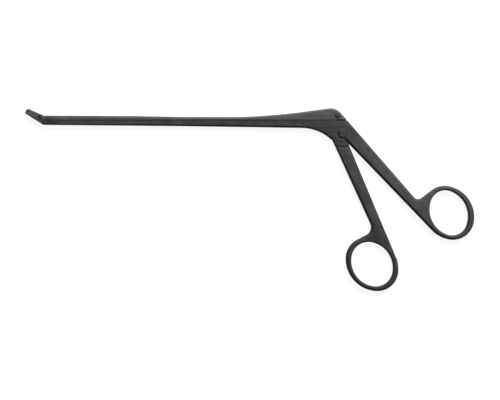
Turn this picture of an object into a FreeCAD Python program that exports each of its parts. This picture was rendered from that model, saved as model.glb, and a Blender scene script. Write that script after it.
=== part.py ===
import FreeCAD, Part
import Sketcher
import math
import os
from types import SimpleNamespace

# A bone rongeur with an up-angled cup jaw, ring handles and a sliding upper shaft, jaws closed.
# Millimetres. The instrument lies flat: +X runs from the jaws to the handles, +Y is up, +Z is across it.
# The origin is where the axis of the handle pivot meets the flat face that the instrument lies on.

SIZES = [
    ("body_thickness", 5.2, "body, arms and rings, flat to flat"),
    ("shaft_width", 3.6, "both shafts, side to side"),
    ("cup_width", 4.0, "both jaws, side to side"),
    ("seam_rise", 7.9, "sliding seam above the handle pivot"),
    ("seam_gap", 0.06, "running gap between slider and shaft"),
    ("taper_front", 54.0, "where the shafts begin to widen, forward of the pivot"),
    ("taper_rear", 28.0, "where they reach the body thickness"),
    ("shaft_bend_behind", 0.1, "bend under the lower jaw, behind the jaw pivot"),
    ("shaft_middle_reach", 97.0, "middle of the shaft, forward of the pivot"),
    ("throat_reach", 24.7, "where the underside turns down into the body"),
    ("shaft_front_depth", 2.75, "lower shaft below the seam at the bend"),
    ("shaft_middle_depth", 3.5, "lower shaft below the seam at its middle"),
    ("shaft_rear_depth", 4.55, "lower shaft below the seam at the throat"),
    ("throat_radius", 26.4, "curve of the underside into the body"),
    ("cheek_drop", 4.1, "lower edge of the cheeks below the pivot"),
    ("cheek_rear", 1.7, "rear end of that edge, behind the pivot"),
    ("back_corner", 2.75, "where the seam ends at the back, behind the pivot"),
    ("slider_front_rise", 2.8, "slider above the seam at the jaw"),
    ("slider_second_reach", 126.0, "where the slider begins to thin"),
    ("slider_second_rise", 2.55, "slider above the seam there"),
    ("waist_front_reach", 92.0, "front of the thinnest stretch"),
    ("waist_rear_reach", 62.0, "rear of the thinnest stretch"),
    ("waist_rise", 1.95, "slider above the seam at its thinnest"),
    ("ramp_middle_reach", 40.0, "middle of the ramp to the hump"),
    ("ramp_middle_rise", 3.2, "slider above the seam there"),
    ("ramp_end_reach", 20.4, "top of the curved ramp"),
    ("ramp_end_rise", 5.4, "slider above the seam there"),
    ("hump_reach", 4.1, "corner of the hump before it is rounded, forward of the pivot"),
    ("hump_rise", 7.65, "that corner above the seam"),
    ("hump_round", 8.0, "rounding of the hump"),
    ("slider_edge_round", 1.2, "long upper edges of the slider"),
    ("shaft_edge_round", 1.3, "lower edges of the shaft and the body"),
    ("arm_edge_round", 1.7, "edges of the arms and outer edges of the rings"),
    ("hole_bevel", 0.8, "inner edges of the rings"),
    ("seam_chamfer", 0.25, "broken edges along the seam"),
    ("drive_pin_forward", 2.94, "drive pin forward of the handle pivot, jaws closed"),
    ("drive_pin_rise", 10.74, "drive pin above the handle pivot"),
    ("drive_pin_radius", 0.9, "shank of the drive pin"),
    ("drive_head_radius", 1.6, "head of the drive pin"),
    ("drive_head_depth", 0.45, "depth of the head in the cheek"),
    ("pivot_radius", 1.6, "shank of the handle pivot screw"),
    ("pivot_head_radius", 2.9, "head of that screw"),
    ("pivot_head_depth", 0.65, "depth of the head in the cheek"),
    ("head_proud", 0.35, "how far both heads stand out"),
    ("head_bevel", 0.5, "sloping rim of both heads, seen from above"),
    ("heel_reach", 3.9, "front end of the relief under the slider's heel, forward of the pivot"),
    ("heel_gap", 0.45, "height of that relief"),
    ("screw_slot_width", 0.6, "driver slot"),
    ("screw_slot_depth", 0.5, "driver slot"),
    ("screw_floor", 0.4, "metal under the blind tapped hole of that screw"),
    ("end_gap", 0.05, "room under the ends of the pin and the screw"),
    ("lever_thickness", 2.3, "tongue of the finger handle inside the body"),
    ("lever_side_gap", 0.05, "play on each side of that tongue"),
    ("lever_boss_radius", 3.4, "tongue round the pivot"),
    ("lever_root_radius", 2.55, "half the width of the lever where it leaves the pivot"),
    ("lever_end_radius", 1.85, "tongue round the drive pin"),
    ("lever_clear", 0.3, "room round the tongue in its slot"),
    ("neck_root", 1.0, "how far the thin neck runs into the full thickness"),
    ("neck_rear", 1.05, "rear edge of the neck between the cheeks"),
    ("slot_widens", 0.2, "height at which the lever slot begins to widen to the front"),
    ("slot_wide_drop", 3.3, "how far below the pivot it reaches its full width"),
    ("slot_wide_front", 9.2, "its front end there, forward of the pivot"),
    ("shoulder_radius", 7.75, "where the finger handle reaches its full thickness, from the pivot"),
    ("running_fit", 0.05, "radial play of a pin in a moving piece"),
    ("rivet_fit", 0.01, "radial play of a pin in the piece that holds it"),
    ("finger_inner_x", -6.1, "front edge of the finger handle at the cheeks"),
    ("finger_outer_x", 3.56, "rear edge of the finger handle at its root"),
    ("finger_outer_y", -6.4, "the same point, height"),
    ("finger_web_x", 18.66, "corner between arm and finger ring"),
    ("finger_web_y", -58.56, "the same corner, height"),
    ("finger_web_round", 5.2, "rounding of that corner"),
    ("finger_ring_x", 17.7, "centre of the finger ring"),
    ("finger_ring_y", -78.4, "the same centre, height"),
    ("finger_ring_long", 17.35, "outer long radius of the finger ring"),
    ("finger_ring_short", 14.6, "outer short radius"),
    ("finger_ring_tilt", -48.0, "direction of the long radius"),
    ("finger_hole_long", 14.13, "long radius of its hole"),
    ("finger_hole_short", 11.78, "short radius of its hole"),
    ("finger_hole_tilt", -54.2, "direction of the long radius of the hole"),
    ("thumb_web_x", 44.84, "corner between arm and thumb ring"),
    ("thumb_web_y", -40.56, "the same corner, height"),
    ("thumb_web_round", 3.3, "rounding of that corner"),
    ("thumb_ring_x", 63.7, "centre of the thumb ring"),
    ("thumb_ring_y", -47.6, "the same centre, height"),
    ("thumb_ring_long", 17.0, "outer long radius of the thumb ring"),
    ("thumb_ring_short", 14.5, "outer short radius"),
    ("thumb_ring_tilt", -55.1, "direction of the long radius"),
    ("thumb_hole_long", 14.05, "long radius of its hole"),
    ("thumb_hole_short", 11.18, "short radius of its hole"),
    ("thumb_hole_tilt", -64.3, "direction of the long radius of the hole"),
    ("jaw_pivot_reach", 179.6, "jaw pivot forward of the handle pivot"),
    ("jaw_pivot_drop", 1.15, "jaw pivot below the seam"),
    ("jaw_pivot_radius", 0.55, "jaw pivot pin"),
    ("link_rise", 2.35, "link pin above the jaw pivot"),
    ("link_radius", 0.5, "link pin"),
    ("jaw_opening", 50.0, "opening of the upper jaw, degrees"),
    ("jaw_angle", 24.0, "rise of the plane where the jaws meet, degrees"),
    ("parting_height", 1.5, "that plane from the jaw pivot, square to it"),
    ("jaw_length", 12.24, "jaw pivot to the tip, along the jaw"),
    ("upper_jaw_thickness", 2.28, "upper jaw above the parting plane"),
    ("lower_jaw_tip", 0.95, "lower jaw at the tip"),
    ("upper_jaw_round", 1.25, "outer edges of the upper jaw"),
    ("lower_jaw_round", 0.7, "outer edges of the lower jaw"),
    ("jaw_step", 2.55, "front end of the seam, forward of the jaw pivot"),
    ("jaw_tongue", 1.2, "tail of the upper jaw between the forks"),
    ("jaw_side_gap", 0.05, "play on each side of that tail"),
    ("jaw_boss_radius", 1.1, "tail round the jaw pivot"),
    ("shoulder_foot", 4.15, "foot of the shoulder of the upper cup, from the jaw pivot along the jaw"),
    ("shoulder_top", 3.2, "top of that shoulder"),
    ("tail_root", 0.3, "how far the tail reaches under the shoulder"),
    ("tail_front", 4.0, "front end of the tail at its top, along the jaw"),
    ("tail_rear", 1.0, "rear end of the tail at its top, along the jaw"),
    ("tail_half_width", 1.0, "half the width of the tail beside the jaw pivot"),
    ("tail_waist_rise", 0.3, "height at which it has that width"),
    ("tail_behind_link", 1.5, "tail behind the link pin"),
    ("fork_wall", 1.25, "slider in front of the link pin"),
    ("fork_width", 3.0, "slider fork, side to side"),
    ("fork_step", 1.3, "rear end of the narrow fork, forward of the jaw pivot"),
    ("fork_drop", 0.45, "how far the top of the fork slopes down to its front"),
    ("fork_slot_rear", 1.9, "rear end of the slot in the slider fork, behind the jaw pivot"),
    ("shaft_slot_front", 3.6, "front end of the slot in the lower shaft"),
    ("shaft_slot_rear", 3.1, "rear end of that slot"),
    ("cup_ball", 1.3, "radius of the cutter that hollows the cups"),
    ("cup_front_rim", 1.25, "rim at the tip of the cups"),
    ("cup_rear", 5.0, "rear end of the hollow, from the jaw pivot along the jaw"),
    ("upper_cup_lift", 0.2, "cutter axis outside the upper cup"),
    ("lower_cup_lift", 0.5, "cutter axis outside the lower cup"),
    ("key_neck", 1.2, "neck of the guide keys, side to side"),
    ("key_head", 2.0, "head of the guide keys, side to side"),
    ("key_neck_depth", 0.7, "neck below the seam"),
    ("key_head_depth", 0.8, "height of the head"),
    ("key_length", 8.0, "length of a guide key"),
    ("key_gap", 0.06, "play round the guide keys"),
    ("key_end_room", 0.25, "room before and behind a key at the ends of its travel"),
    ("key_root", 0.3, "how far a key reaches up into the slider"),
    ("front_key_reach", 164.0, "front end of the front key, forward of the pivot"),
    ("rear_key_reach", 80.0, "front end of the rear key, forward of the pivot"),
]

doc = FreeCAD.newDocument("bone_rongeur")
sheet = doc.addObject("Spreadsheet::Sheet", "sizes")
for row, (alias, number, meaning) in enumerate(SIZES, start=1):
    sheet.set(f"A{row}", alias)
    sheet.set(f"B{row}", str(number))
    sheet.set(f"C{row}", meaning)
    sheet.setAlias(f"B{row}", alias)
doc.recompute()
size = SimpleNamespace(**{alias: float(sheet.get(alias)) for alias, _, _ in SIZES})

MIDDLE = "sizes.body_thickness / 2"
THROUGH = "sizes.body_thickness * 2"
mid = size.body_thickness / 2


# Points and directions that several pieces share.

def point(x, y):
    return FreeCAD.Vector(x, y, 0)


def on_line(start, end, y):
    """The point at height y on the line through two points."""
    share = (y - start.y) / (end.y - start.y)
    return start + (end - start) * share


def at_x(start, end, x):
    """The point at a place x on the line through two points."""
    share = (x - start.x) / (end.x - start.x)
    return start + (end - start) * share


def on_circle(start, end, radius):
    """The point nearest to end where the line through two points leaves the circle round the origin."""
    along = (end - start).normalize()
    foot = start - along * start.dot(along)
    return foot + along * math.sqrt(radius ** 2 - foot.Length ** 2)


seam = size.seam_rise
slider_floor = seam + size.seam_gap
pivot = point(0, 0)
drive = point(-size.drive_pin_forward, size.drive_pin_rise)
jaw_pivot = point(-size.jaw_pivot_reach, seam - size.jaw_pivot_drop)
shaft_bend = jaw_pivot.x + size.shaft_bend_behind
half_opening = math.radians(size.jaw_opening / 2)
link = jaw_pivot + point(-size.link_rise * math.tan(half_opening), size.link_rise)
travel = 2 * size.link_rise * math.tan(half_opening)
closed_lean = math.atan2(-drive.x, drive.y)
open_lean = math.atan2(-drive.x - travel, drive.y)
handle_opening = closed_lean - open_lean

back_corner = point(size.back_corner, seam)
thumb_web = point(size.thumb_web_x, size.thumb_web_y)
finger_web = point(size.finger_web_x, size.finger_web_y)
finger_inner = point(size.finger_inner_x, -size.cheek_drop)
finger_outer = point(size.finger_outer_x, size.finger_outer_y)

jaw_slope = math.radians(size.jaw_angle)
jaw_along = point(-math.cos(jaw_slope), math.sin(jaw_slope))
jaw_up = point(math.sin(jaw_slope), math.cos(jaw_slope))


def at_jaw(along, up):
    """A point measured from the jaw pivot, along the jaw and square to it."""
    return jaw_pivot + jaw_along * along + jaw_up * up


lower_tip = at_jaw(size.jaw_length, size.parting_height - size.lower_jaw_tip)


def on_parting(x):
    """The point of the parting plane at a place x, measured from the jaw pivot."""
    up = (size.parting_height - x * math.sin(jaw_slope)) / math.cos(jaw_slope)
    return jaw_pivot + point(x, up)


# Outlines, as lists of edges that close on themselves.

def polygon(*corners):
    """Straight edges through the corners and back to the first."""
    ends = corners[1:] + corners[:1]
    return [Part.LineSegment(a, b) for a, b in zip(corners, ends)]


def circle(centre, radius):
    return [Part.Circle(centre, FreeCAD.Vector(0, 0, 1), radius)]


def rectangle(x_low, x_high, y_low, y_high):
    return polygon(point(x_low, y_low), point(x_high, y_low), point(x_high, y_high), point(x_low, y_high))


def heading(angle):
    """The direction at an angle from +X."""
    return point(math.cos(angle), math.sin(angle))


def slot_outline(start, end, radius_start, radius_end):
    """Two round ends and their common tangents."""
    gap = end - start
    turn = math.acos((radius_start - radius_end) / gap.Length)
    ahead = math.atan2(gap.y, gap.x)
    left_start = start + heading(ahead + turn) * radius_start
    left_end = end + heading(ahead + turn) * radius_end
    right_start = start + heading(ahead - turn) * radius_start
    right_end = end + heading(ahead - turn) * radius_end
    return [
        Part.LineSegment(left_start, left_end),
        Part.Arc(left_end, end + heading(ahead) * radius_end, right_end),
        Part.LineSegment(right_end, right_start),
        Part.Arc(right_start, start - heading(ahead) * radius_start, left_start),
    ]


def oval(centre, long_radius, short_radius, tilt):
    """Four quarters that meet smoothly, each as its centre, its radius and the direction of its middle."""
    spread = (long_radius - short_radius) / (math.sqrt(2) - 1)
    shift = spread * math.sqrt(0.5)
    end_radius = long_radius - shift
    quarters = []
    for turn in range(4):
        middle = math.radians(tilt) + turn * math.pi / 2
        if turn % 2 == 0:
            quarters.append((centre + heading(middle) * shift, end_radius, middle))
        else:
            quarters.append((centre - heading(middle) * shift, end_radius + spread, middle))
    return quarters


def quarter_at(quarters, angle):
    """The quarter of an oval whose outline faces a direction."""
    return max(quarters, key=lambda quarter: math.cos(angle - quarter[2]))


def touch(quarters, outside, side):
    """Direction that the oval faces where the tangent from a point meets it, on the side 1 or -1."""
    for quarter in quarters:
        centre, radius, _ = quarter
        offset = outside - centre
        if offset.Length > radius:
            angle = math.atan2(offset.y, offset.x) + side * math.acos(radius / offset.Length)
            if quarter_at(quarters, angle) == quarter:
                return angle
    raise RuntimeError("no tangent from this point")


def along_oval(quarters, start, end):
    """The arcs of an oval from one direction to another, anticlockwise."""
    end = start + (end - start) % (2 * math.pi)
    borders = sorted(start + (middle + math.pi / 4 - start) % (2 * math.pi) for _, _, middle in quarters)
    stops = [start] + [border for border in borders if border < end] + [end]
    arcs = []
    for first, last in zip(stops, stops[1:]):
        centre, radius, _ = quarter_at(quarters, (first + last) / 2)
        places = [centre + heading(angle) * radius for angle in (first, (first + last) / 2, last)]
        arcs.append(Part.Arc(*places))
    return arcs


def whole_oval(quarters):
    arcs = []
    for centre, radius, middle in quarters:
        angles = (middle - math.pi / 4, middle, middle + math.pi / 4)
        arcs.append(Part.Arc(*[centre + heading(angle) * radius for angle in angles]))
    return arcs


def ring_end(ring, from_web, web_side, to_outer):
    """From the web corner round the ring and on to the far end of the tangent edge."""
    start = touch(ring, from_web, web_side)
    end = touch(ring, to_outer, -web_side)
    ends = []
    for angle in (start, end):
        centre, radius, _ = quarter_at(ring, angle)
        ends.append(centre + heading(angle) * radius)
    arcs = along_oval(ring, start, end) if web_side > 0 else along_oval(ring, end, start)
    return [Part.LineSegment(from_web, ends[0])] + arcs + [Part.LineSegment(ends[1], to_outer)]


# Features.

def sketch(body, name, wires, plane="XY_Plane", offset=None):
    """A sketch on one of the body's own origin planes; on XY it lies in the middle of the thickness."""
    drawn = body.newObject("Sketcher::SketchObject", name)
    support = next(face for face in body.Origin.OriginFeatures if face.Role == plane)
    drawn.AttachmentSupport = (support, [""])
    drawn.MapMode = "FlatFace"
    if offset is not None:
        drawn.AttachmentOffset = offset
    elif plane == "XY_Plane":
        drawn.setExpression("AttachmentOffset.Base.z", MIDDLE)
    for wire in wires:
        first = drawn.GeometryCount
        drawn.addGeometry(wire, False)
        join_ends(drawn, first)
    return drawn


def join_ends(drawn, first):
    """Ties the ends that meet in the wire that begins at one edge number."""
    ends = []
    for number in range(first, drawn.GeometryCount):
        if hasattr(drawn.Geometry[number], "StartPoint"):
            ends += [(number, end, drawn.getPoint(number, end)) for end in (1, 2)]
    for place, (number, end, spot) in enumerate(ends):
        for other, other_end, other_spot in ends[place + 1:]:
            if number != other and spot.distanceToPoint(other_spot) < 1e-5:
                drawn.addConstraint(Sketcher.Constraint("Coincident", number, end, other, other_end))


def feature(body, kind, name, profile, length, reverse=False, both=True):
    """A pad or pocket of the sketch, equally to both sides unless told otherwise."""
    made = body.newObject("PartDesign::" + kind, name)
    made.Profile = profile
    made.SideType = "Symmetric" if both else "One side"
    made.Reversed = reverse
    made.setExpression("Length", length)
    profile.Visibility = False
    doc.recompute()
    return made


def pad(body, name, wires, length, **where):
    return feature(body, "Pad", name, sketch(body, name + "_outline", wires, **where), length)


def pocket(body, name, wires, length, **where):
    """A cut to both sides of its sketch; it has to take some metal away."""
    before = body.Tip.Shape.Volume
    made = feature(body, "Pocket", name, sketch(body, name + "_outline", wires, **where), length)
    if not before - made.Shape.Volume > 0:
        raise RuntimeError(name + " cuts nothing")
    return made


def bore_up(body, name, centre, radius, floor):
    """A round pocket from the height given up through the face turned to the viewer."""
    place = FreeCAD.Placement(FreeCAD.Vector(0, 0, floor), FreeCAD.Rotation())
    drawn = sketch(body, name + "_outline", [circle(centre, radius)], offset=place)
    return feature(body, "Pocket", name, drawn, THROUGH, reverse=True, both=False)


def edges_of(shape, wanted):
    """Names of the edges for which the test holds, given the edge and its middle point."""
    names = []
    for number, edge in enumerate(shape.Edges, start=1):
        if edge.Length > 1e-3 and wanted(edge, edge.valueAt((edge.FirstParameter + edge.LastParameter) / 2)):
            names.append(f"Edge{number}")
    return names


def dress(body, kind, name, prop, length, wanted):
    """A fillet or chamfer on the edges that the test picks."""
    base = body.Tip
    made = body.newObject("PartDesign::" + kind, name)
    made.Base = (base, edges_of(base.Shape, wanted))
    made.setExpression(prop, length)
    doc.recompute()
    if made.Shape.isNull() or not made.Shape.isValid():
        raise RuntimeError(f"{body.Label}: {name} fails on {len(made.Base[1])} edges")
    return made


def fillet(body, name, radius, wanted):
    return dress(body, "Fillet", name, "Radius", radius, wanted)


def upright(edge):
    """Whether the edge runs along Z."""
    along = edge.tangentAt(edge.FirstParameter)
    return abs(along.z) > 0.999


def near(spot, x, y, reach=0.05):
    return math.hypot(spot.x - x, spot.y - y) < reach


def new_body(name):
    body = doc.addObject("PartDesign::Body", name)
    body.Label = name
    return body


# Side cuts that give both shafts their width and widen them evenly to the body thickness.

def side_cuts(front, rear_width="body_thickness"):
    """Two wedges on the XZ plane, from the front end given to the rear of the taper."""
    narrow = size.shaft_width / 2
    wide = size.body_thickness / 2
    outside = size.body_thickness
    wires = []
    for side in (1, -1):
        wires.append(polygon(
            point(front, mid + side * narrow),
            point(-size.taper_front, mid + side * narrow),
            point(-size.taper_rear, mid + side * wide),
            point(-size.taper_rear, mid + side * outside),
            point(front, mid + side * outside),
        ))
    return wires


def jaw_frame(up, flat=False):
    """Placement of a sketch whose x axis runs back along the jaw at a height square to it."""
    origin = at_jaw(0, up)
    if flat:
        turn = FreeCAD.Rotation(FreeCAD.Vector(0, 1, 0), -size.jaw_angle)
        return FreeCAD.Placement(FreeCAD.Vector(origin.x, mid, -origin.y), turn)
    turn = FreeCAD.Rotation(FreeCAD.Vector(0, 0, 1), -size.jaw_angle)
    return FreeCAD.Placement(FreeCAD.Vector(origin.x, origin.y, mid), turn)


def round_nose(body):
    """Trims the tip of a jaw to a half round, seen square to the parting plane."""
    radius = size.cup_width / 2
    tip = -size.jaw_length
    centre = tip + radius
    rear = centre + 2 * radius
    outside = 2 * radius
    nose = [
        Part.LineSegment(point(rear, outside), point(tip - radius, outside)),
        Part.LineSegment(point(tip - radius, outside), point(tip - radius, -outside)),
        Part.LineSegment(point(tip - radius, -outside), point(rear, -outside)),
        Part.LineSegment(point(rear, -outside), point(rear, -radius)),
        Part.LineSegment(point(rear, -radius), point(centre, -radius)),
        Part.Arc(point(centre, -radius), point(tip, 0), point(centre, radius)),
        Part.LineSegment(point(centre, radius), point(rear, radius)),
        Part.LineSegment(point(rear, radius), point(rear, outside)),
    ]
    pocket(body, "round_nose", [nose], "sizes.jaw_length", plane="XZ_Plane",
           offset=jaw_frame(size.parting_height, flat=True))


def hollow_cup(body, lift):
    """Turns a round-ended cutter about an axis along the jaw, lifted out of the cup."""
    ball = size.cup_ball
    front = -size.jaw_length + size.cup_front_rim
    rear = -size.cup_rear
    half_way = ball * math.sqrt(0.5)
    inset = ball - half_way
    profile = [
        Part.LineSegment(point(front, 0), point(rear, 0)),
        Part.Arc(point(rear, 0), point(rear - inset, half_way), point(rear - ball, ball)),
        Part.LineSegment(point(rear - ball, ball), point(front + ball, ball)),
        Part.Arc(point(front + ball, ball), point(front + inset, half_way), point(front, 0)),
    ]
    drawn = sketch(body, "cup_outline", [profile], offset=jaw_frame(size.parting_height + lift))
    before = body.Tip.Shape.Volume
    made = body.newObject("PartDesign::Groove", "cup_hollow")
    made.Profile = drawn
    made.ReferenceAxis = (drawn, ["H_Axis"])
    made.Angle = 360
    doc.recompute()
    if not before - made.Shape.Volume > 0:
        raise RuntimeError("the cup is not hollowed")


# The fixed half: lower shaft with its jaw, slotted body, arm and thumb ring, all one forging.

def shaft_floor(x):
    """Height of the lower shaft's underside at a place along it."""
    places = [
        (shaft_bend, size.shaft_front_depth),
        (-size.shaft_middle_reach, size.shaft_middle_depth),
        (-size.throat_reach, size.shaft_rear_depth),
    ]
    for (x_a, depth_a), (x_b, depth_b) in zip(places, places[1:]):
        if x <= x_b:
            return seam - depth_a - (depth_b - depth_a) * (x - x_a) / (x_b - x_a)
    return seam - size.shaft_rear_depth


def make_fixed_half():
    body = new_body("thumb_handle_and_shaft")
    centre = point(size.thumb_ring_x, size.thumb_ring_y)
    ring = oval(centre, size.thumb_ring_long, size.thumb_ring_short, size.thumb_ring_tilt)
    hole = oval(centre, size.thumb_hole_long, size.thumb_hole_short, size.thumb_hole_tilt)
    step = point(jaw_pivot.x - size.jaw_step, seam)
    bend = point(shaft_bend, shaft_floor(shaft_bend))
    middle = point(-size.shaft_middle_reach, shaft_floor(-size.shaft_middle_reach))
    throat = point(-size.throat_reach, seam - size.shaft_rear_depth)
    curve = throat - point(0, size.throat_radius)
    cheek_y = -size.cheek_drop
    rise = cheek_y - curve.y
    throat_end = curve + point(math.sqrt(size.throat_radius ** 2 - rise ** 2), rise)
    half_way = (throat - curve) + (throat_end - curve)
    throat_middle = curve + half_way.normalize() * size.throat_radius
    cheek_rear = point(size.cheek_rear, cheek_y)
    under_step = at_x(bend, lower_tip, step.x)
    outline = [
        Part.LineSegment(step, back_corner),
        Part.LineSegment(back_corner, thumb_web),
    ] + ring_end(ring, thumb_web, -1, cheek_rear) + [
        Part.LineSegment(cheek_rear, throat_end),
        Part.Arc(throat_end, throat_middle, throat),
        Part.LineSegment(throat, middle),
        Part.LineSegment(middle, bend),
        Part.LineSegment(bend, under_step),
        Part.LineSegment(under_step, step),
    ]
    pad(body, "side_outline", [outline], "sizes.body_thickness")
    pocket(body, "shaft_sides", side_cuts(step.x - size.body_thickness), "sizes.jaw_pivot_reach",
           plane="XZ_Plane")
    fillet(body, "web_round", "sizes.thumb_web_round",
           lambda edge, spot: upright(edge) and near(spot, thumb_web.x, thumb_web.y))
    fillet(body, "shaft_edges", "sizes.shaft_edge_round",
           lambda edge, spot: flat_side(spot) and not along_seam(edge) and bend.x < spot.x < throat_end.x)
    fillet(body, "arm_edges", "sizes.arm_edge_round",
           lambda edge, spot: flat_side(spot) and not along_seam(edge) and spot.x > throat_end.x)
    pocket(body, "thumb_hole", [whole_oval(hole)], THROUGH)
    dress(body, "Chamfer", "hole_edges", "Size", "sizes.hole_bevel",
          lambda edge, spot: on_oval(hole, spot) and flat_side(spot))
    add_lower_jaw(body, step, under_step)
    dress(body, "Chamfer", "seam_edges", "Size", "sizes.seam_chamfer",
          lambda edge, spot: along_seam(edge) and flat_side(spot))
    cut_lever_slot(body)
    cut_guide_slots(body)
    cut_pin_holes(body)
    return body


def on_oval(quarters, spot):
    """Whether a point lies on the outline of an oval, seen from above."""
    for centre, radius, middle in quarters:
        offset = point(spot.x, spot.y) - centre
        faces_it = offset.dot(heading(middle)) > radius * math.cos(math.pi / 4 + 0.01)
        if faces_it and abs(offset.Length - radius) < 1e-3:
            return True
    return False


def flat_side(spot):
    """Whether a point is on one of the two flat sides of the body or the shaft."""
    from_middle = abs(spot.z - mid)
    if spot.x > -size.taper_rear:
        return abs(from_middle - size.body_thickness / 2) < 1e-3
    if spot.x < -size.taper_front:
        return abs(from_middle - size.shaft_width / 2) < 1e-3
    return size.shaft_width / 2 - 1e-3 < from_middle < size.body_thickness / 2 + 1e-3


def along_seam(edge):
    spots = [edge.valueAt(edge.FirstParameter), edge.valueAt(edge.LastParameter)]
    return all(abs(spot.y - seam) < 1e-3 for spot in spots)


def add_lower_jaw(body, step, under_step):
    """The cup that closes from below, wider than the shaft that carries it."""
    top = on_parting(-size.jaw_step)
    tip_top = at_jaw(size.jaw_length, size.parting_height)
    pad(body, "lower_jaw", [polygon(step, top, tip_top, lower_tip, under_step)], "sizes.cup_width")
    round_nose(body)
    hollow_cup(body, size.lower_cup_lift)
    bottom = (lower_tip - under_step).normalize()
    fillet(body, "lower_jaw_edges", "sizes.lower_jaw_round",
           lambda edge, spot: spot.x < step.x - size.seam_gap and not upright(edge)
           and abs((spot - under_step).cross(bottom).z) < 1e-3)


def cut_lever_slot(body):
    """The slot between the cheeks, in which the tongue of the finger handle swings."""
    room = size.lever_boss_radius + size.lever_clear
    front = drive.x - size.lever_end_radius - size.lever_clear
    above = seam + size.body_thickness
    below = -2 * size.cheek_drop
    width = "sizes.lever_thickness + 2 * sizes.lever_side_gap"
    pocket(body, "pivot_room", [circle(pivot, room)], width)
    pocket(body, "lever_slot", [polygon(
        point(front, above), point(front, size.slot_widens),
        point(-size.slot_wide_front, -size.slot_wide_drop), point(-size.slot_wide_front, below),
        point(size.cheek_rear, below), point(size.cheek_rear, size.lever_clear - size.lever_boss_radius),
        point(room, 0), point(room, above),
    )], width)


def guide_slot(body, name, key_front):
    """An undercut slot for one guide key, with a wider place behind it where the key drops in."""
    front = -key_front - size.key_end_room
    rear = -key_front + size.key_length + travel + size.key_end_room
    entry = rear + size.key_length + 2 * size.key_gap
    head_top = seam - size.key_neck_depth + size.key_gap
    floor = seam - size.key_neck_depth - size.key_head_depth - size.key_gap
    above = seam + size.body_thickness
    neck_width = "sizes.key_neck + 2 * sizes.key_gap"
    head_width = "sizes.key_head + 2 * sizes.key_gap"
    pocket(body, name + "_neck", [rectangle(front, rear, floor, above)], neck_width)
    pocket(body, name + "_head", [rectangle(front, rear, floor, head_top)], head_width)
    pocket(body, name + "_entry", [rectangle(rear, entry, floor, above)], head_width)


def cut_guide_slots(body):
    guide_slot(body, "front_guide", size.front_key_reach)
    guide_slot(body, "rear_guide", size.rear_key_reach)


def cut_pin_holes(body):
    """The fork for the jaw's tail, and the holes for the jaw pin and the handle screw."""
    pocket(body, "jaw_fork", [rectangle(
        jaw_pivot.x - size.shaft_slot_front, jaw_pivot.x + size.shaft_slot_rear,
        jaw_pivot.y - size.shaft_front_depth * 2, seam + size.slider_front_rise,
    )], "sizes.jaw_tongue + 2 * sizes.jaw_side_gap")
    pocket(body, "jaw_pin_hole", [circle(jaw_pivot, size.jaw_pivot_radius + size.rivet_fit)], THROUGH)
    bore_up(body, "screw_hole", pivot, size.pivot_radius + size.rivet_fit, size.screw_floor)
    bore_up(body, "screw_head_seat", pivot, size.pivot_head_radius + size.rivet_fit,
            size.body_thickness - size.pivot_head_depth)


# The finger handle: a lever whose thin tongue swings between the cheeks and drives the slider.

def make_finger_handle():
    body = new_body("finger_handle")
    centre = point(size.finger_ring_x, size.finger_ring_y)
    ring = oval(centre, size.finger_ring_long, size.finger_ring_short, size.finger_ring_tilt)
    hole = oval(centre, size.finger_hole_long, size.finger_hole_short, size.finger_hole_tilt)
    front_end = on_circle(finger_inner, finger_web, size.shoulder_radius)
    ring_edges = ring_end(ring, finger_web, 1, finger_outer)
    rear_tangent = ring_edges[-1].StartPoint
    rear_end = on_circle(finger_outer, rear_tangent, size.shoulder_radius)
    ring_edges[-1] = Part.LineSegment(rear_tangent, rear_end)
    bottom = (front_end + rear_end).normalize() * size.shoulder_radius
    outline = ring_edges + [
        Part.Arc(rear_end, bottom, front_end),
        Part.LineSegment(front_end, finger_web),
    ]
    pad(body, "side_outline", [outline], "sizes.body_thickness")
    fillet(body, "web_round", "sizes.finger_web_round",
           lambda edge, spot: upright(edge) and near(spot, finger_web.x, finger_web.y))
    fillet(body, "outer_edges", "sizes.arm_edge_round",
           lambda edge, spot: flat_side(spot) and spot.Length > size.shoulder_radius + size.lever_clear)
    pocket(body, "finger_hole", [whole_oval(hole)], THROUGH)
    dress(body, "Chamfer", "hole_edges", "Size", "sizes.hole_bevel",
          lambda edge, spot: on_oval(hole, spot) and flat_side(spot))
    front_root = on_circle(finger_inner, finger_web, size.shoulder_radius + size.neck_root)
    rear_root = on_circle(finger_outer, rear_tangent, size.shoulder_radius + size.neck_root)
    neck = polygon(
        front_root, finger_inner + (finger_inner - front_root).normalize() * size.lever_clear,
        point(-size.lever_boss_radius, size.lever_clear), pivot,
        point(size.neck_rear, -size.lever_boss_radius), point(size.neck_rear, -size.cheek_drop),
        rear_end, rear_root,
    )
    pad(body, "neck", [neck], "sizes.lever_thickness")
    pad(body, "boss", [circle(pivot, size.lever_boss_radius)], "sizes.lever_thickness")
    pad(body, "lever", [slot_outline(pivot, drive, size.lever_root_radius, size.lever_end_radius)],
        "sizes.lever_thickness")
    pocket(body, "pivot_bore", [circle(pivot, size.pivot_radius + size.running_fit)], THROUGH)
    lever_arm = [drive.y / math.cos(lean) for lean in (closed_lean, open_lean)]
    radial = (drive - pivot).normalize()
    slot_radius = size.drive_pin_radius + size.running_fit
    pocket(body, "drive_slot", [slot_outline(radial * (min(lever_arm) - size.running_fit),
                                             radial * (max(lever_arm) + size.running_fit),
                                             slot_radius, slot_radius)], THROUGH)
    return body


# The slider: the upper shaft, pushed forward by the lever to close the jaw.

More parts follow.
